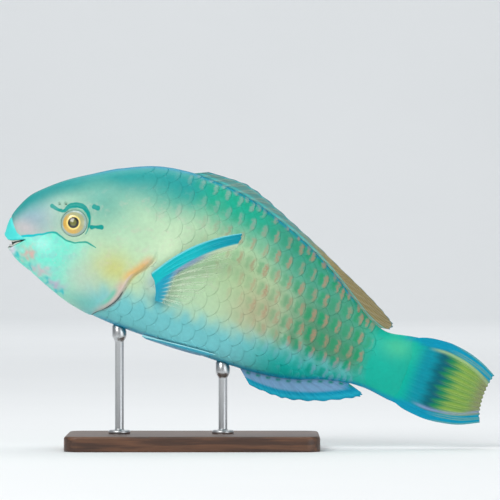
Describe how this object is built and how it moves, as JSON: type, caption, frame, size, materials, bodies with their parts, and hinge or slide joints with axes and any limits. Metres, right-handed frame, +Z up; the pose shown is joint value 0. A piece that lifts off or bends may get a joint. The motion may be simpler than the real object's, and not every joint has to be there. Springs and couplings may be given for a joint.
{
  "type": "parrotfish",
  "caption": "Life-size parrotfish swimming nose up, with folded fins and a tooth-plate beak, held on a flat base by two short rods.",
  "frame": {"origin": "centre of the stand base's underside, on the surface that the model stands on", "axes": "+Z up; +X towards the tail, so that the snout points to -X and the fish's left side faces -Y"},
  "size_m": [0.2914, 0.086, 0.168],
  "materials": {
    "head_skin": "moist satin skin",
    "jaw_skin": "moist satin skin",
    "cover_skin": "moist satin skin",
    "body_skin": "scaled satin skin",
    "stalk_skin": "scaled satin skin",
    "tooth_plate": "smooth tooth",
    "eye": "wet gloss",
    "edge_fin": "rayed membrane",
    "tail_fin": "rayed membrane",
    "side_fin": "rayed membrane",
    "base_wood": "oiled dark wood",
    "rod_steel": "brushed"
  },
  "bodies": {
    "root": {"head": "head_skin", "lower_jaw": "jaw_skin", "gill_cover_left": "cover_skin", "gill_cover_right": "cover_skin", "trunk": "body_skin", "tail_stalk": "stalk_skin", "beak_upper": "tooth_plate", "beak_lower": "tooth_plate", "eye_left": "eye", "eye_right": "eye", "dorsal_fin": "edge_fin", "anal_fin": "edge_fin", "caudal_fin": "tail_fin", "pectoral_fin_left": "side_fin", "pectoral_fin_right": "side_fin", "pelvic_fin_left": "side_fin", "pelvic_fin_right": "side_fin", "stand_base": "base_wood", "stand_rod_front": "rod_steel", "stand_rod_rear": "rod_steel"}
  },
  "joints": []
}
